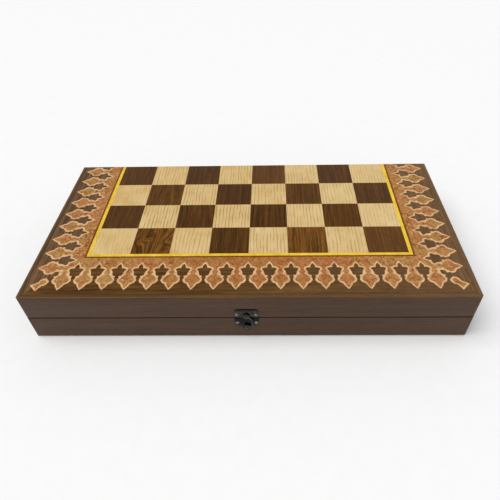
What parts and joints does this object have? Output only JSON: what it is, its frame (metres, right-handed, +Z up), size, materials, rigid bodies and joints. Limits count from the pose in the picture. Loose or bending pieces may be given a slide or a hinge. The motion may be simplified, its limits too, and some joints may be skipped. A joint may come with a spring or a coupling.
{
  "type": "backgammon set",
  "caption": "Folding marquetry case that opens on rear butt hinges into a playing board, with a swing hook clasp, turned stones and dice inside.",
  "frame": {"origin": "centre of the closed case's underside, in plan midway between the clasp's and the hinge's reach", "axes": "+X to the right along the seam, +Y towards the hinges, +Z up through the lid"},
  "size_m": [0.5, 0.2605, 0.068],
  "materials": {
    "rail_walnut": "satin lacquer",
    "panel_board": "satin lacquer",
    "walnut_veneer": "satin lacquer",
    "ash_veneer": "satin lacquer",
    "burl_veneer": "satin lacquer",
    "yellow_string": "satin lacquer",
    "point_inlay": "satin lacquer",
    "screw_steel": "polished",
    "hinge_brass": "polished",
    "clasp_metal": "blackened and polished",
    "stone_light": "waxed",
    "stone_dark": "waxed",
    "die_ivory": "polished"
  },
  "bodies": {
    "base": {"base_front_rail": "rail_walnut", "base_back_rail": "rail_walnut", "base_end_rails": "rail_walnut", "base_panel": "panel_board", "base_walnut_veneer": "walnut_veneer", "base_light_veneer": "ash_veneer", "base_burl_veneer": "burl_veneer", "base_string_line": "yellow_string", "base_points": "point_inlay", "base_screws": "screw_steel", "hinge_base_leaves": "hinge_brass", "hinge_pins": "hinge_brass", "clasp_base_plate": "clasp_metal", "clasp_stud": "clasp_metal"},
    "lid": {"lid_front_rail": "rail_walnut", "lid_back_rail": "rail_walnut", "lid_end_rails": "rail_walnut", "lid_panel": "panel_board", "lid_walnut_veneer": "walnut_veneer", "lid_light_veneer": "ash_veneer", "lid_burl_veneer": "burl_veneer", "lid_string_line": "yellow_string", "lid_points": "point_inlay", "lid_screws": "screw_steel", "hinge_lid_leaves": "hinge_brass", "clasp_lid_plate": "clasp_metal", "clasp_pivot": "clasp_metal"},
    "clasp_hook": {"clasp_hook": "clasp_metal"},
    "die_1": {"die_1": "die_ivory"},
    "die_2": {"die_2": "die_ivory"},
    "stone_dark_01": {"stone_dark_01": "stone_dark"},
    "stone_dark_02": {"stone_dark_02": "stone_dark"},
    "stone_dark_03": {"stone_dark_03": "stone_dark"},
    "stone_dark_04": {"stone_dark_04": "stone_dark"},
    "stone_dark_05": {"stone_dark_05": "stone_dark"},
    "stone_dark_06": {"stone_dark_06": "stone_dark"},
    "stone_dark_07": {"stone_dark_07": "stone_dark"},
    "stone_dark_08": {"stone_dark_08": "stone_dark"},
    "stone_dark_09": {"stone_dark_09": "stone_dark"},
    "stone_dark_10": {"stone_dark_10": "stone_dark"},
    "stone_dark_11": {"stone_dark_11": "stone_dark"},
    "stone_dark_12": {"stone_dark_12": "stone_dark"},
    "stone_dark_13": {"stone_dark_13": "stone_dark"},
    "stone_dark_14": {"stone_dark_14": "stone_dark"},
    "stone_dark_15": {"stone_dark_15": "stone_dark"},
    "stone_light_01": {"stone_light_01": "stone_light"},
    "stone_light_02": {"stone_light_02": "stone_light"},
    "stone_light_03": {"stone_light_03": "stone_light"},
    "stone_light_04": {"stone_light_04": "stone_light"},
    "stone_light_05": {"stone_light_05": "stone_light"},
    "stone_light_06": {"stone_light_06": "stone_light"},
    "stone_light_07": {"stone_light_07": "stone_light"},
    "stone_light_08": {"stone_light_08": "stone_light"},
    "stone_light_09": {"stone_light_09": "stone_light"},
    "stone_light_10": {"stone_light_10": "stone_light"},
    "stone_light_11": {"stone_light_11": "stone_light"},
    "stone_light_12": {"stone_light_12": "stone_light"},
    "stone_light_13": {"stone_light_13": "stone_light"},
    "stone_light_14": {"stone_light_14": "stone_light"},
    "stone_light_15": {"stone_light_15": "stone_light"}
  },
  "joints": [
    {"name": "clasp_hook_swing", "type": "hinge", "parent": "lid", "child": "clasp_hook", "pos_m": [-0.0013, -0.1287, 0.038], "axis": [0, -1, 0], "range_deg": [0, 100]},
    {"name": "lid_hinge", "type": "hinge", "parent": "base", "child": "lid", "pos_m": [0, 0.12725, 0.034], "axis": [-1, 0, 0], "range_deg": [0, 180]},
    {"name": "die_1_lift", "type": "slide", "parent": "base", "child": "die_1", "axis": [0, 0, 1], "range_m": [0, 0.04]},
    {"name": "die_2_lift", "type": "slide", "parent": "base", "child": "die_2", "axis": [0, 0, 1], "range_m": [0, 0.04]},
    {"name": "stone_dark_01_lift", "type": "slide", "parent": "base", "child": "stone_dark_01", "axis": [0, 0, 1], "range_m": [0, 0.04]},
    {"name": "stone_dark_02_lift", "type": "slide", "parent": "base", "child": "stone_dark_02", "axis": [0, 0, 1], "range_m": [0, 0.04]},
    {"name": "stone_dark_03_lift", "type": "slide", "parent": "base", "child": "stone_dark_03", "axis": [0, 0, 1], "range_m": [0, 0.04]},
    {"name": "stone_dark_04_lift", "type": "slide", "parent": "base", "child": "stone_dark_04", "axis": [0, 0, 1], "range_m": [0, 0.04]},
    {"name": "stone_dark_05_lift", "type": "slide", "parent": "base", "child": "stone_dark_05", "axis": [0, 0, 1], "range_m": [0, 0.04]},
    {"name": "stone_dark_06_lift", "type": "slide", "parent": "base", "child": "stone_dark_06", "axis": [0, 0, 1], "range_m": [0, 0.04]},
    {"name": "stone_dark_07_lift", "type": "slide", "parent": "base", "child": "stone_dark_07", "axis": [0, 0, 1], "range_m": [0, 0.04]},
    {"name": "stone_dark_08_lift", "type": "slide", "parent": "base", "child": "stone_dark_08", "axis": [0, 0, 1], "range_m": [0, 0.04]},
    {"name": "stone_dark_09_lift", "type": "slide", "parent": "base", "child": "stone_dark_09", "axis": [0, 0, 1], "range_m": [0, 0.04]},
    {"name": "stone_dark_10_lift", "type": "slide", "parent": "base", "child": "stone_dark_10", "axis": [0, 0, 1], "range_m": [0, 0.04]},
    {"name": "stone_dark_11_lift", "type": "slide", "parent": "base", "child": "stone_dark_11", "axis": [0, 0, 1], "range_m": [0, 0.04]},
    {"name": "stone_dark_12_lift", "type": "slide", "parent": "base", "child": "stone_dark_12", "axis": [0, 0, 1], "range_m": [0, 0.04]},
    {"name": "stone_dark_13_lift", "type": "slide", "parent": "base", "child": "stone_dark_13", "axis": [0, 0, 1], "range_m": [0, 0.04]},
    {"name": "stone_dark_14_lift", "type": "slide", "parent": "base", "child": "stone_dark_14", "axis": [0, 0, 1], "range_m": [0, 0.04]},
    {"name": "stone_dark_15_lift", "type": "slide", "parent": "base", "child": "stone_dark_15", "axis": [0, 0, 1], "range_m": [0, 0.04]},
    {"name": "stone_light_01_lift", "type": "slide", "parent": "base", "child": "stone_light_01", "axis": [0, 0, 1], "range_m": [0, 0.04]},
    {"name": "stone_light_02_lift", "type": "slide", "parent": "base", "child": "stone_light_02", "axis": [0, 0, 1], "range_m": [0, 0.04]},
    {"name": "stone_light_03_lift", "type": "slide", "parent": "base", "child": "stone_light_03", "axis": [0, 0, 1], "range_m": [0, 0.04]},
    {"name": "stone_light_04_lift", "type": "slide", "parent": "base", "child": "stone_light_04", "axis": [0, 0, 1], "range_m": [0, 0.04]},
    {"name": "stone_light_05_lift", "type": "slide", "parent": "base", "child": "stone_light_05", "axis": [0, 0, 1], "range_m": [0, 0.04]},
    {"name": "stone_light_06_lift", "type": "slide", "parent": "base", "child": "stone_light_06", "axis": [0, 0, 1], "range_m": [0, 0.04]},
    {"name": "stone_light_07_lift", "type": "slide", "parent": "base", "child": "stone_light_07", "axis": [0, 0, 1], "range_m": [0, 0.04]},
    {"name": "stone_light_08_lift", "type": "slide", "parent": "base", "child": "stone_light_08", "axis": [0, 0, 1], "range_m": [0, 0.04]},
    {"name": "stone_light_09_lift", "type": "slide", "parent": "base", "child": "stone_light_09", "axis": [0, 0, 1], "range_m": [0, 0.04]},
    {"name": "stone_light_10_lift", "type": "slide", "parent": "base", "child": "stone_light_10", "axis": [0, 0, 1], "range_m": [0, 0.04]},
    {"name": "stone_light_11_lift", "type": "slide", "parent": "base", "child": "stone_light_11", "axis": [0, 0, 1], "range_m": [0, 0.04]},
    {"name": "stone_light_12_lift", "type": "slide", "parent": "base", "child": "stone_light_12", "axis": [0, 0, 1], "range_m": [0, 0.04]},
    {"name": "stone_light_13_lift", "type": "slide", "parent": "base", "child": "stone_light_13", "axis": [0, 0, 1], "range_m": [0, 0.04]},
    {"name": "stone_light_14_lift", "type": "slide", "parent": "base", "child": "stone_light_14", "axis": [0, 0, 1], "range_m": [0, 0.04]},
    {"name": "stone_light_15_lift", "type": "slide", "parent": "base", "child": "stone_light_15", "axis": [0, 0, 1], "range_m": [0, 0.04]}
  ]
}
